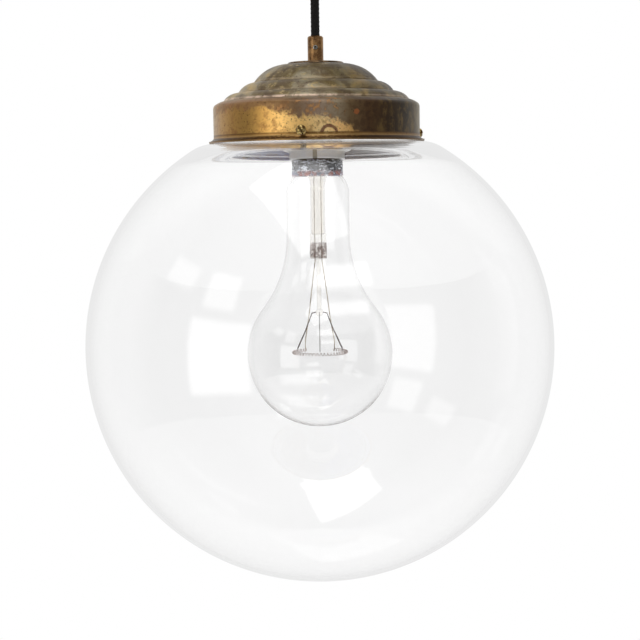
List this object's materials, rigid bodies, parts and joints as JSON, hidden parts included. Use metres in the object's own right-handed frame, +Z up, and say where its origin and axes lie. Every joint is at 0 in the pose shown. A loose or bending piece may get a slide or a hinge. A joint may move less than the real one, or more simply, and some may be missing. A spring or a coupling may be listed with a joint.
{
  "type": "globe pendant light",
  "caption": "Clear glass globe pendant light with a stepped aged-brass gallery, screw-in bulb, braided cord and ceiling cup.",
  "frame": {"origin": "centre of the mounting strap's ceiling face", "axes": "+Z up into the ceiling, +X along the strap, -Y towards the viewer"},
  "size_m": [0.3, 0.3, 0.4364],
  "materials": {
    "aged_brass": "spun brass with brown and grey patina",
    "clean_brass": "turned brass",
    "plated_steel": "zinc plated steel",
    "dark_steel": "blackened steel",
    "porcelain": "white glazed porcelain",
    "braid": "black braided textile",
    "live_cover": "brown core insulation",
    "neutral_cover": "blue core insulation",
    "clear_glass": "clear blown glass",
    "bulb_clear": "thin clear glass",
    "black_glass": "black insulating glass",
    "pad_rubber": "soft black pad",
    "cap_metal": "bright lamp cap",
    "tungsten": "drawn tungsten",
    "lead_metal": "copper clad lead wire",
    "solder": "tin solder"
  },
  "bodies": {
    "ceiling_fitting": {"mounting_strap": "plated_steel", "ceiling_cup": "aged_brass", "cup_screws": "clean_brass", "outlet_bush": "aged_brass", "bush_nut": "plated_steel", "terminal_block": "porcelain", "block_screw": "plated_steel", "terminal_screws": "plated_steel", "live_feed": "live_cover", "neutral_feed": "neutral_cover"},
    "swivel": {"swivel_washer": "clean_brass"},
    "pendant": {"ball_collar": "clean_brass", "collar_screw": "dark_steel", "cord": "braid", "cord_grip": "aged_brass", "grip_screw": "dark_steel", "top_disc": "aged_brass", "gallery": "aged_brass", "lock_washer": "plated_steel", "lock_nut": "plated_steel", "entry_bush": "clean_brass", "holder_cap": "porcelain", "holder_insert": "porcelain", "holder_sleeve": "porcelain", "screw_shell": "clean_brass", "centre_contact": "clean_brass", "side_contact": "clean_brass", "contact_screws": "plated_steel", "live_core": "live_cover", "neutral_core": "neutral_cover", "globe": "clear_glass"},
    "bulb_carrier": {"bulb_end_contact": "solder"},
    "bulb": {"bulb_cap": "cap_metal", "bulb_insulator": "black_glass", "bulb_glass": "bulb_clear", "bulb_stem": "bulb_clear", "lead_wires": "lead_metal", "support_wires": "tungsten", "filament": "tungsten"},
    "pad_1": {"screw_pad_1": "pad_rubber"},
    "screw_1": {"gallery_screw_1": "aged_brass"},
    "pad_2": {"screw_pad_2": "pad_rubber"},
    "screw_2": {"gallery_screw_2": "aged_brass"},
    "pad_3": {"screw_pad_3": "pad_rubber"},
    "screw_3": {"gallery_screw_3": "aged_brass"}
  },
  "joints": [
    {"name": "swing_fore_aft", "type": "hinge", "parent": "ceiling_fitting", "child": "swivel", "pos_m": [0, 0, -0.032], "axis": [1, 0, 0], "range_deg": [-12, 12]},
    {"name": "swing_side", "type": "hinge", "parent": "swivel", "child": "pendant", "pos_m": [0, 0, -0.032], "axis": [0, 1, 0], "range_deg": [-12, 12]},
    {"name": "bulb_travel", "type": "slide", "parent": "pendant", "child": "bulb_carrier", "axis": [0, 0, -1], "range_m": [0, 0.0255]},
    {"name": "bulb_turn", "type": "hinge", "parent": "bulb_carrier", "child": "bulb", "pos_m": [0, 0, -0.28638], "axis": [0, 0, -1], "range_deg": [0, 2520]},
    {"name": "screw_1_travel", "type": "slide", "parent": "pendant", "child": "pad_1", "axis": [-0.1271, -0.9919, 0], "range_m": [0, 0.0042]},
    {"name": "screw_1_turn", "type": "hinge", "parent": "pad_1", "child": "screw_1", "pos_m": [-0.00832, -0.06497, -0.1494], "axis": [-0.1271, -0.9919, 0], "range_deg": [0, 2160]},
    {"name": "screw_2_travel", "type": "slide", "parent": "pendant", "child": "pad_2", "axis": [0.9225, 0.3859, 0], "range_m": [0, 0.0042]},
    {"name": "screw_2_turn", "type": "hinge", "parent": "pad_2", "child": "screw_2", "pos_m": [0.06043, 0.02528, -0.1494], "axis": [0.9225, 0.3859, 0], "range_deg": [0, 2160]},
    {"name": "screw_3_travel", "type": "slide", "parent": "pendant", "child": "pad_3", "axis": [-0.7955, 0.606, 0], "range_m": [0, 0.0042]},
    {"name": "screw_3_turn", "type": "hinge", "parent": "pad_3", "child": "screw_3", "pos_m": [-0.0521, 0.03969, -0.1494], "axis": [-0.7955, 0.606, 0], "range_deg": [0, 2160]}
  ],
  "couplings": [
    {"joint": "bulb_travel", "follows": "bulb_turn", "m_per_rad": 0.00057741},
    {"joint": "screw_1_turn", "follows": "screw_1_travel", "rad_per_m": 8976},
    {"joint": "screw_2_turn", "follows": "screw_2_travel", "rad_per_m": 8976},
    {"joint": "screw_3_turn", "follows": "screw_3_travel", "rad_per_m": 8976}
  ]
}
